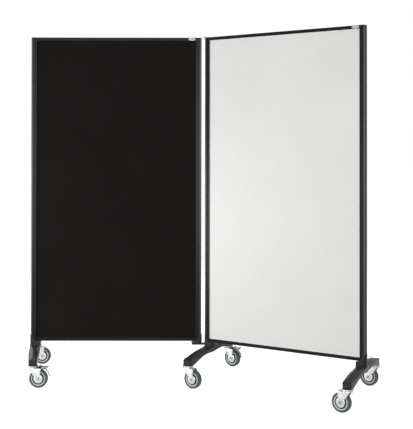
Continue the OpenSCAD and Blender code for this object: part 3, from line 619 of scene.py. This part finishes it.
inward = np.linspace(0, 1, 12)
field = np.column_stack([1.2 + (badge_half_h - 1.25) * inward, 0.7 + 1.3 * (1 - (1 - inward) ** 2)])
bead = [(0, 0), (0, 0.9), (0.25, 1.35), (0.7, 1.55), (1.15, 1.4), (1.5, 1.0), (1.5, 0)]
for name, place in (("left", left_panel), ("right", right_panel)):
    new_piece(name + "_badge_rim", tube(oval_rings(bead), close_rows=True, ends=False), place,
              badge_rim, name + "_panel", [name + "_badge"], sharp=60)
    new_piece(name + "_badge_field", tube(oval_rings(np.vstack([[1.2, 0.1], field]))), place,
              enamel, name + "_panel", sharp=60)

# ---- Bases ----
# One aluminium casting under each end and one under the hinge, black powder coated: a socket
# for the post, and two arched arms with a ridge between long lens-shaped flats. They are
# hollow underneath, and a bolt goes up through each into its post.
coated = finish_of("powder_coat", (0.037, 0.037, 0.036), (0.047, 0.047, 0.0458), (0.27, 0.35),
                   cloud=7, grain=700, depth=0.00010, Specular_IOR_Level=0.05)
arm_reach, arm_len, arm_tip = 268, 290, 13
arm_mid_half, arm_tip_half = 28, 21
seat_z, seat_len, arch_rise = 112.4, 29, 22
arm_mid_top, arm_tip_top, arm_bow = 161.4, 141.4, 2.3
swell_top, swell_sole, swell_side = 7.5, 8, 3
nose_in, nose_up = 8, 3
lens_w, lens_dip, arm_wall = 17, 0.9, 5
arm_toe, arm_shift = math.radians(8), 8
frame_z = sized("left_bottom_rail", 2)[0]
post_z = sized("left_outer_post", 2)[0]
post_half_w, post_half_d = 15.2, 15.1
foot_back, foot_front, foot_half = -18, 36, 17.9
foot_nose, foot_corner, gusset_round = 15.9, 6, 9
socket_rise, socket_low, link_high = 37, 144, 169.4
bolt_x, bolt_r, bolt_low, bolt_high = -5, 6.5, 120, 142.4


def arms_shell():
    """Both arms as one skin of closed sections along y. Away from the post the top falls with the
    arm_bow power of the distance, and the underside is a parabola that ends in the flat caster
    seat. Powers of half a sine wave swell each arm in between: one widens and deepens the
    lens-shaped flats, which dip a little, and two arch its top, its underside and its sides. The
    tips round off over arm_tip with a quarter ellipse."""
    half = np.linspace(0, 1, 60) ** 0.9 * (arm_len - arm_tip)
    tip = arm_len - arm_tip + arm_tip * np.sin(np.linspace(0, math.pi / 2, 9)[1:])
    half = np.concatenate([half, tip])
    along = np.concatenate([-half[:0:-1], half])
    far = np.abs(along)
    past = np.clip((far - arm_len + arm_tip) / arm_tip, 0, 1)
    nose = 1 - np.sqrt(np.clip(1 - past ** 2, 0, 1))

    def swell(end, power):
        return np.sin(math.pi * np.clip((far - foot_half) / (end - foot_half), 0, 1)) ** power

    inner = arm_reach - seat_len
    lens, over, under = swell(arm_reach - 6, 0.7), swell(arm_len, 1.3), swell(inner, 1.3)
    w = (arm_mid_half + (arm_tip_half - arm_mid_half) * far / arm_len - nose_in * nose
         + swell_side * over)
    top = (arm_mid_top - (arm_mid_top - arm_tip_top) * (far / arm_len) ** arm_bow - nose_in * nose
           + swell_top * over)
    sole = (seat_z + arch_rise * np.clip(1 - (far / inner) ** 2, 0, 1) + nose_up * nose
            + swell_sole * under)
    flat_w = np.minimum(2 + lens_w * lens, w - 3)
    flat_h = 2 + 0.6 * lens_w * lens
    dip = lens_dip * lens
    start, stop = foot_half + 14, inner - 6
    ramp = np.clip(np.minimum(far - start, stop - far) / 8, 0, 1)
    roof = sole + (top - flat_h - arm_wall - sole) * np.sqrt(ramp)
    wall = w - arm_wall
    mid_w, mid_z = flat_w / 2 - dip / 2, top - flat_h / 2 - dip
    corners = [(-w, sole), (-w, top - flat_h), (-w + mid_w, mid_z), (-w + flat_w, top),
               (w - flat_w, top), (w - mid_w, mid_z), (w, top - flat_h), (w, sole),
               (wall, sole), (wall - 2, roof), (2 - wall, roof), (-wall, sole)]
    sections = np.stack([np.stack(np.broadcast_arrays(x, y), -1) for x, y in corners], 1)
    reach = [1.2, 2.2, 6, 2.6, 2.6, 6, 2.2, 1.2, 0.8, 3, 3, 0.8]
    flat = rounded(sections, reach)
    x, y = flat[..., 0], np.repeat(along[:, None], flat.shape[1], 1)
    turned = np.stack([x * math.cos(arm_toe) - y * math.sin(arm_toe),
                       x * math.sin(arm_toe) + y * math.cos(arm_toe), flat[..., 1]], -1)
    return tube(turned)


def round_ended(low, high, half, r_low, r_high, step=1.5):
    """A plan between two x with quarter circles at its corners, as points at even spacing."""
    quarter = np.linspace(0, math.pi / 2, 12)
    corners = [(high - r_high, r_high - half, r_high, -90),
               (high - r_high, half - r_high, r_high, 0),
               (low + r_low, half - r_low, r_low, 90), (low + r_low, r_low - half, r_low, 180)]
    path = np.concatenate([np.stack([x + r * np.cos(quarter + math.radians(start)),
                                     y + r * np.sin(quarter + math.radians(start))], 1)
                           for x, y, r, start in corners])
    path = np.concatenate([path, path[:1]])
    run = np.concatenate([[0], np.cumsum(np.linalg.norm(np.diff(path, axis=0), axis=1))])
    even = np.linspace(0, run[-1], int(run[-1] / step), endpoint=False)
    return np.stack([np.interp(even, run, path[:, k]) for k in (0, 1)], 1)


def socket_shell(bottom, notched):
    """A socket from its plan: the wall rises to a rim that slopes down from the back of the
    post to the frame and rounds over the gusset, turns inwards and drops into the pocket. A
    notched one slopes up underneath, towards the gusset's end."""
    plan = round_ended(foot_back, foot_front, foot_half, foot_nose, foot_corner)
    low_edge, edge, inner_edge = frame_z - 0.3, 0.8, 0.25

    def rim(x):
        slope = np.interp(x, [foot_back, post_half_w], [frame_z + socket_rise, low_edge])
        over = np.clip((x - foot_front + gusset_round) / gusset_round, 0, 1)
        return slope - gusset_round * (1 - np.sqrt(1 - 0.98 * over ** 2))

    floor_x = [foot_back, 27, 28, 33.3, foot_front]
    floor_z = [bottom, bottom, 145.4, 148.1, 154.4] if notched else [bottom] * 5
    base = np.interp(plan[:, 0], floor_x, floor_z)
    scale = np.minimum(post_half_w / np.maximum(np.abs(plan[:, 0]), 1e-6),
                       post_half_d / np.maximum(np.abs(plan[:, 1]), 1e-6))
    pocket = plan * np.minimum(scale, 1)[:, None]
    centre = plan.mean(0)
    inwards = (centre - plan) / np.linalg.norm(centre - plan, axis=1, keepdims=True)

    def ring(xy, z):
        return np.column_stack([xy, np.broadcast_to(z, len(xy))])

    top = rim(plan[:, 0])
    rings = [ring(plan + inwards * edge, base), ring(plan, base + edge)]
    rings += [ring(plan, base + edge + (top - base - 2 * edge) * t) for t in (0.25, 0.5, 0.75, 1)]
    rings += [ring(plan + inwards * inner_edge, top - inner_edge), ring(plan + inwards * edge, top)]
    rings += [ring(pocket, np.minimum(rim(pocket[:, 0]), frame_z + socket_rise)),
              ring(pocket, post_z)]
    return tube(rings)


def plate_plan(radius, end_x, back_x, steps=20):
    """A strip that is round about the hinge axis at back_x and square at end_x."""
    turn = np.linspace(math.pi / 2, 3 * math.pi / 2, steps)
    nose = np.stack([back_x + radius * np.cos(turn), radius * np.sin(turn)], 1)
    return np.concatenate([nose, [(end_x, -radius), (end_x, radius)]])


def merged(made, shell, place, how="UNION"):
    """Joins a closed shell to a finished object's mesh, or takes it out with DIFFERENCE."""
    tool = placed("tool", clean_mesh("tool", shell, place))
    step = made.modifiers.new("tool", "BOOLEAN")
    step.operation, step.solver, step.object = how, "EXACT", tool
    bpy.context.view_layer.update()
    seen = made.evaluated_get(bpy.context.evaluated_depsgraph_get())
    made.data = bpy.data.meshes.new_from_object(seen)
    made.modifiers.clear()
    made.data.set_sharp_from_angle(angle=math.radians(40))
    bpy.data.objects.remove(tool)


def arms_shell_in(place):
    """The arms turn the same way on every base, also where the socket is flipped, and stand a
    little in from the post, towards the panel."""
    points, faces = arms_shell()
    return points * (place[2], 1, 1) + (arm_shift, 0, 0), faces


def bolt_spot(place):
    """Where the bolt goes up into the post: just outside the post's middle."""
    xy, turn, flip = place
    return spot(xy + np.array([math.cos(turn), math.sin(turn)]) * bolt_x * flip * MM)


def base_piece(name, place, body, node, ear=None):
    """A base: its arms, joined to the socket and any ear, less the recess for the bolt's head."""
    made = new_piece(name, arms_shell_in(place), place, coated, body, [node],
                     sharp=40)
    merged(made, socket_shell(socket_low, True), place)
    if ear:
        merged(made, ear, place)
    recess = [(0, bolt_low), (bolt_r, bolt_low), (bolt_r, bolt_high), (0, bolt_high)]
    merged(made, lathe(recess, 32, loop=False), bolt_spot(place), "DIFFERENCE")


ear_r, ear_root, ear_low, ear_high = 9, -12, 169.7, 174.7
ear = prism(plate_plan(ear_r, ear_root, -hinge_post_x), ear_low, ear_high)
base_piece("left_base_casting", left_outer, "left_panel", "left_base")
base_piece("middle_base_casting", right_hinged, "right_panel", "middle_base", ear)
base_piece("right_base_casting", right_outer, "right_panel", "right_base")
new_piece("left_hinge_socket", socket_shell(link_high, False), left_hinged, coated,
          "left_panel", ["left_hinge_foot"], sharp=50)

# ---- Caster forks ----
# A fork is pressed from one sheet of steel and zinc plated: a broad crown with the lower race
# on it, bent down into two legs that narrow to round ends on the axle. Braked ones have two
# ears for the pedal's pin.
fork_finish = finish_of("fork_zinc", (0.45, 0.48, 0.48), (0.58, 0.605, 0.60), (0.26, 0.38),
                        metallic=1.0, cloud=30, grain=1200, depth=0.00005)
roll = next(j for j in frame["joints"] if j["name"] == "left_front_roll")
wheel_r = roll["pos_m"][2] / MM
trail = 30
fork_t, fork_out, fork_bend, fork_end = 2.5, 19.5, 5, 12
fork_turn_in, rib_h = 1.4, 0.7
crown_z, crown_front = 101.5, 44
race_r, race_low, race_high = 27, 101.5, 107.5
pedal_pin_x, pedal_pin_z = 38, 106.4
ear_in, ear_out, pin_ear_r = 10.55, 13.05, 4.1


def fork_shell():
    """The pressing's outer face: rows run from one leg's end over the crown to the other, and
    each row crosses it from its back edge to its front edge. The edges turn in with the eighth
    power of the way across, and a rib with the section of a bell curve stands along each leg."""
    low = wheel_r - fork_end * np.cos(np.linspace(0, math.pi / 2, 10))
    leg = np.concatenate([low, np.linspace(wheel_r, crown_z - fork_bend, 24)[1:]])
    arc = np.linspace(0, math.pi / 2, 7)[1:]
    side_y = np.concatenate([np.full(len(leg), fork_out),
                             fork_out - fork_bend * (1 - np.cos(arc))])
    side_z = np.concatenate([leg, crown_z - fork_bend * (1 - np.sin(arc))])
    top_y = np.linspace(fork_out - fork_bend, fork_bend - fork_out, 15)[1:-1]
    y = np.concatenate([side_y, top_y, -side_y[::-1]])
    z = np.concatenate([side_z, np.full(len(top_y), crown_z), side_z[::-1]])
    heights = [wheel_r, 58, 66, 73.5, 80, 87, 94, crown_z]
    back = np.interp(z, heights, [18, 15, 7, 0, -4.5, -9, -14.5, -20])
    front = np.interp(z, heights, [42, 41, 40.2, 40.3, 41, 42, 43, crown_front])
    end = np.sqrt(np.clip(fork_end ** 2 - (z - wheel_r) ** 2, 0, None))
    back = np.where(z < wheel_r, trail - end, back)
    front = np.where(z < wheel_r, trail + end, front)
    flat = z > crown_z - 0.01
    back = np.where(flat, -np.sqrt(np.clip(race_r ** 2 - y ** 2, 0, None)), back)
    across = np.linspace(-1, 1, 17)
    x = (back + front)[:, None] / 2 + (front - back)[:, None] / 2 * across
    fade = np.clip((z - wheel_r - 6) / 14, 0, 1) * np.clip((crown_z - 8 - z) / 10, 0, 1)
    rib = rib_h * fade[:, None] * np.exp(-(across / 0.3) ** 2)
    turn_in = fork_turn_in * np.abs(across) ** 8 * np.where(flat, 0, 1)[:, None]
    side = np.sign(y)[:, None]
    yy = y[:, None] + side * (rib - turn_in)
    zz = np.broadcast_to(z[:, None], x.shape)
    return np.stack([x, yy, zz], -1).reshape(-1, 3), open_faces(len(z), len(across))


def upright_plate(outline, low, high):
    """A closed outline (x, z) carried along y."""
    points, faces = prism(outline, low, high)
    return points[:, [0, 2, 1]], faces


def arch_outline(x, z, radius, foot, steps=12):
    """A tongue: a half circle on two straight sides that go down to foot."""
    turn = np.linspace(0, math.pi, steps)
    return np.concatenate([np.stack([x + radius * np.cos(turn), z + radius * np.sin(turn)], 1),
                           [(x - radius, foot), (x + radius, foot)]])


casters = {}
for joint in frame["joints"]:
    if joint["name"].endswith("_swivel"):
        pivot = np.array(joint["pos_m"][:2])
        name = joint["name"][:-len("_swivel")]
        axle = next(j for j in frame["joints"] if j["name"] == name + "_roll")
        ahead = np.array(axle["pos_m"][:2]) - pivot
        casters[name] = spot(pivot, math.atan2(ahead[1], ahead[0]))
braked = [name for name in casters if name + "_pedal" in frame["nodes"]]

race = lathe([(7, race_low), (race_r, race_low), (race_r, race_low + 2.4),
              (race_r - 0.6, race_low + 3.4), (race_r - 1.8, race_high - 0.5),
              (race_r - 2.6, race_high), (7, race_high)], 72)
for name, place in casters.items():
    new_piece(name + "_fork_pressing", fork_shell(), place, fork_finish, name + "_caster",
              [name + "_fork"], sharp=45, bevel=0.5, wall=fork_t)
    new_piece(name + "_race", race, place, fork_finish, name + "_caster", sharp=50)
    if name in braked:
        outline = arch_outline(pedal_pin_x, pedal_pin_z, pin_ear_r, race_low - 0.5)
        ears = [upright_plate(outline, low, high)
                for low, high in ((ear_in, ear_out), (-ear_out, -ear_in))]
        new_piece(name + "_ears", together(*ears), place, fork_finish, name + "_caster",
                  bevel=0.4)

# ---- Caster axles and thread guards ----
# A zinc-plated bolt and nut through the fork's legs, and on each side of the wheel a dished
# steel disc that keeps threads off the axle. Braked casters have the pedal's cross pin as well.
hub_half, guard_gap = 13.5, 0.3
axle_r, axle_end, hex_r, hex_h = 4, 24.6, 7, 4
pin_r, pin_past = 2.5, 1.2


def rod(radius, half, chamfer):
    """The profile (radius, height) of a round rod with both ends chamfered."""
    return [(0, -half), (radius - chamfer, -half), (radius, chamfer - half),
            (radius, half - chamfer), (radius - chamfer, half), (0, half)]


def hex_head(near, far, radius, sides=48):
    """A six-sided head on the cross axis between two y, its outer corners chamfered by a cone:
    a ring's radius is the hexagon's, and past the chamfer never more than the circle's."""
    turn = np.linspace(0, 2 * math.pi, sides, endpoint=False)
    flat = radius * math.cos(math.pi / 6) / np.cos((turn % (math.pi / 3)) - math.pi / 6)
    edge = near + (far - near) * 0.75
    rows = [(near, flat), (edge, flat), (far, np.minimum(flat, radius * 0.9)),
            (far, flat * 0.6), (far, flat * 0)]
    rings = [np.stack([trail + r * np.cos(turn), np.full(sides, y), wheel_r + r * np.sin(turn)], 1)
             for y, r in rows]
    return tube(rings)


def guard(side):
    """One dished disc: profile (radius, distance from the wheel's middle)."""
    near = hub_half + guard_gap
    profile = np.array([(axle_r + 0.1, 0), (9, 0), (19.6, 0.6), (22.2, -0.2), (22.8, 0.1),
                        (22.9, 0.7), (22.2, 1.3), (20, 2.0), (18, 2.2), (14, 2.3), (12, 2.7),
                        (10, 3.15), (axle_r + 0.1, 3.2)])
    profile[:, 1] = side * (near + profile[:, 1])
    return lathe(profile, 72, (trail, wheel_r))


# Painted shade: the bolt, nut and pin have a zinc far darker than the fork's, for the shade at the hub.
bolt_painted_shade_zinc = finish_of("axle_bolt_painted_shade", (0.20, 0.21, 0.205), (0.29, 0.30, 0.29), (0.3, 0.42),
                        metallic=1.0, cloud=60, grain=1800, depth=0.00004)
for name, place in casters.items():
    new_piece(name + "_thread_guards", together(guard(1), guard(-1)), place, fork_finish,
              name + "_caster", sharp=32)
    shells = [hex_head(fork_out, fork_out + hex_h, hex_r),
              hex_head(-fork_out, -fork_out - hex_h, hex_r),
              lathe([(0, -axle_end), (axle_r - 0.8, -axle_end), (axle_r, 0.8 - axle_end),
                     (axle_r, fork_out), (0, fork_out)], 32, (trail, wheel_r), loop=False)]
    if name in braked:
        shells.append(lathe(rod(pin_r, ear_out + pin_past, 0.6), 24, (pedal_pin_x, pedal_pin_z),
                            loop=False))
    new_piece(name + "_axle_set", together(*shells), place, bolt_painted_shade_zinc, name + "_caster",
              [name + "_axle"], sharp=32)

# ---- Caster wheels and treads ----
# The wheel is a moulded beige nylon core with a recessed web, darkened behind its rim by
# painted shade, and a soft grey-green rubber tread moulded round it.
beige = finish_of("wheel_core", (0.66, 0.60, 0.45), (0.74, 0.68, 0.53), (0.4, 0.5), cloud=25)
tree = beige.node_tree
recess = tree.nodes.new("ShaderNodeAttribute")
recess.attribute_name = "recess"
# Painted shade: where the recess attribute is set, the core's colour is mixed towards near black.
recess_painted_shade = colour_mix(tree, recess.outputs["Fac"], tree.nodes["Mix"].outputs[2],
                     (0.010, 0.008, 0.007))
tree.links.new(recess_painted_shade, tree.nodes["Principled BSDF"].inputs["Base Color"])
tread = finish_of("tread_rubber", (0.036, 0.068, 0.068), (0.052, 0.088, 0.086), (0.5, 0.65),
                  cloud=20, grain=700, depth=0.0002)
rim_r, tread_half, tread_round = 35.5, 13, 4.8


def mirrored(half):
    """A closed profile from its half at positive heights, repeated below."""
    half = np.array(half, float)
    return np.concatenate([half, (half * (1, -1))[::-1]])


core = lathe(mirrored([(4.1, hub_half), (11.2, hub_half), (12, hub_half - 0.8), (12.6, 6), (14, 5),
                       (rim_r - 8.4, 4.2), (rim_r - 7, 5), (rim_r - 5.9, 10.2), (rim_r - 5.3, 11),
                       (rim_r - 2.2, 12.2), (rim_r - 1, 12.4), (rim_r - 0.3, 12.1), (rim_r, 11.4)]),
             96, (trail, wheel_r))
turn = np.linspace(0, math.pi / 2, 9)
shoulder = zip(42.2 + tread_round * np.sin(turn), tread_half - tread_round * (1 - np.cos(turn)))
band = lathe(mirrored([(rim_r, tread_half - 1.4), (rim_r + 0.6, tread_half - 0.4),
                       (rim_r + 1.6, tread_half), (40.6, tread_half), *shoulder,
                       (47.3, 5), (47.5, 2), (47.5, 0.5), (47.3, 0.3)]), 128, (trail, wheel_r))


def mark_painted_shade(made, place):
    """Marks the points that lie behind the rim's face, from 0 to 1 over half a millimetre, for
    the painted shade that darkens the recess there."""
    points = np.zeros(3 * len(made.data.vertices), np.float32)
    made.data.vertices.foreach_get("co", points)
    x, y = (points.reshape(-1, 3)[:, :2] - place[0]).T / MM
    across = np.abs(y * math.cos(place[1]) - x * math.sin(place[1]))
    ahead = x * math.cos(place[1]) + y * math.sin(place[1]) - trail
    up = points[2::3] / MM - wheel_r
    depth = np.clip(2 * (11 - across), 0, 1) * (np.hypot(ahead, up) < rim_r - 3)
    made.data.attributes.new("recess", "FLOAT", "POINT").data.foreach_set("value", depth)


for name, place in casters.items():
    made = new_piece(name + "_wheel_core", core, place, beige, name + "_wheel_set",
                     [name + "_wheel"], sharp=50)
    mark_painted_shade(made, place)
    new_piece(name + "_tread", band, place, tread, name + "_wheel_set",
              [name + "_tyre"], sharp=60)

# ---- Swivel covers and kingpins ----
# A pressed zinc-plated cap over the ball race of each caster, on the headed kingpin that
# carries the fork and goes up into the arm's seat.
cover = lathe([(7, seat_z), (27.2, seat_z), (28.1, 111.8), (28.4, 110.8), (28.4, 108.2),
               (28.0, 107.8), (27.4, 108), (27.2, 110.4), (7, 110.6)], 72)
kingpin = lathe([(0, 94.7), (8, 94.7), (9, 95.7), (9, 98.0), (8.4, 98.7), (6, 98.7), (6, 136.4),
                 (0, 136.4)], 40, loop=False)


def stems(name, body, names, node):
    """The covers and kingpins of several casters as one piece."""
    points, faces = together(cover, kingpin)
    every = together(*[(laid(points, casters[c]) / MM, faces) for c in names])
    new_piece(name, every, spot((0, 0)), fork_finish, body, [node])


stems("left_swivel_covers", "left_panel", [c for c in casters if c.startswith("left")],
      "left_caster_stems")
stems("right_swivel_covers", "right_panel", [c for c in casters if not c.startswith("left")],
      "right_caster_stems")

# ---- Brake pedals ----
# A channel pressed from sheet steel with a turned-up toe. It tips on its pin, whose ends have
# black rubber caps, and a curved tongue spot-welded under it then bears on the tread. A round
# rubber stop sits across the channel, with its ends in the sides.
pedal_high = 107.9
pedal_back, pedal_front, pedal_half = 34, 84, 10
stop_x, stop_z, stop_r = 60, 101.2, 4.5
cap_z, cap_foot, cap_r, cap_out = 105.4, 101.6, 6.2, 16.5
tongue_r, tongue_half = 57.2, 7


def pedal_top_shell():
    """The channel's outer face: rows along x, each one up a side, over the top and down. The
    sides deepen in front of the fork's crown and end before the toe, which curls up."""
    x = np.concatenate([np.linspace(pedal_back, 76, 30), np.linspace(77, pedal_front - 1.4, 8)])
    skirt = np.interp(x, [pedal_back, 47, 50.5, 70, 79, pedal_front],
                      [102.6, 102.6, 94.6, 95.4, 104.0, 105.5])
    rise = np.interp(x, [76, 79, 81, 83], [0, 0.8, 2.6, 6.0])
    side = np.array([-1, -1, -1, -0.93, -0.6, 0, 0.6, 0.93, 1, 1, 1]) * pedal_half
    level = np.array([0, 0.5, 0.86, 1, 1, 1, 1, 1, 0.86, 0.5, 0])
    z = skirt[:, None] + (pedal_high - skirt)[:, None] * level + rise[:, None]
    xx = np.broadcast_to(x[:, None], z.shape)
    yy = np.broadcast_to(side, z.shape)
    return np.stack([xx, yy, z], -1).reshape(-1, 3), open_faces(*z.shape)


def tongue_shell():
    """A strip along a path in the x-z plane: down from the pedal, then round the axle."""
    turn = np.radians(np.linspace(51, 7, 26))
    arc = np.stack([trail + tongue_r * np.cos(turn), wheel_r + tongue_r * np.sin(turn)], 1)
    drop = np.stack([np.full(6, arc[0, 0]), np.linspace(pedal_high - 2.4, arc[0, 1] + 2, 6)], 1)
    path = np.concatenate([drop, arc])
    taper = np.concatenate([np.ones(len(path) - 4), [0.97, 0.9, 0.75, 0.5]])
    y = np.linspace(-tongue_half, tongue_half, 7)
    yy = taper[:, None] * y
    return (np.stack([np.broadcast_to(path[:, :1], yy.shape), yy,
                      np.broadcast_to(path[:, 1:], yy.shape)], -1).reshape(-1, 3),
            open_faces(*yy.shape))


rubber = finish_of("black_rubber", (0.004, 0.004, 0.004), (0.008, 0.008, 0.008), (0.6, 0.75),
                   cloud=40, grain=900, depth=0.00008, Specular_IOR_Level=0.08)
# Painted shade: the pedal's zinc is far darker than the fork's, for the shade under the arm.
pedal_painted_shade_zinc = finish_of("pedal_zinc", (0.17, 0.18, 0.175), (0.25, 0.26, 0.25), (0.38, 0.5),
                         metallic=1.0, cloud=30, grain=1200, depth=0.00005)
for name in braked:
    place = casters[name]
    plate = new_piece(name + "_pedal_plate", pedal_top_shell(), place, pedal_painted_shade_zinc,
                      name + "_brake", [name + "_pedal"], bevel=0.4, wall=1.8)
    bore, past = stop_r + 0.1, pedal_half + 2
    hole = [(0, -past), (bore, -past), (bore, past), (0, past)]
    merged(plate, lathe(hole, 32, (stop_x, stop_z), loop=False), place, "DIFFERENCE")
    new_piece(name + "_tongue", tongue_shell(), place, pedal_painted_shade_zinc, name + "_brake",
              bevel=0.4, wall=2.0)
    stop = lathe(rod(stop_r, pedal_half - 0.1, 0.6), 32, (stop_x, stop_z), loop=False)
    new_piece(name + "_pedal_stop", stop, place, rubber, name + "_brake")
    cap = arch_outline(0, 0, cap_r, cap_foot - cap_z) * (1.25, 1) + (pedal_pin_x, cap_z)
    ends = [upright_plate(cap, low, high)
            for low, high in ((ear_out, cap_out), (-cap_out, -ear_out))]
    new_piece(name + "_pin_caps", together(*ends), place, rubber, name + "_caster",
              bevel=0.6)
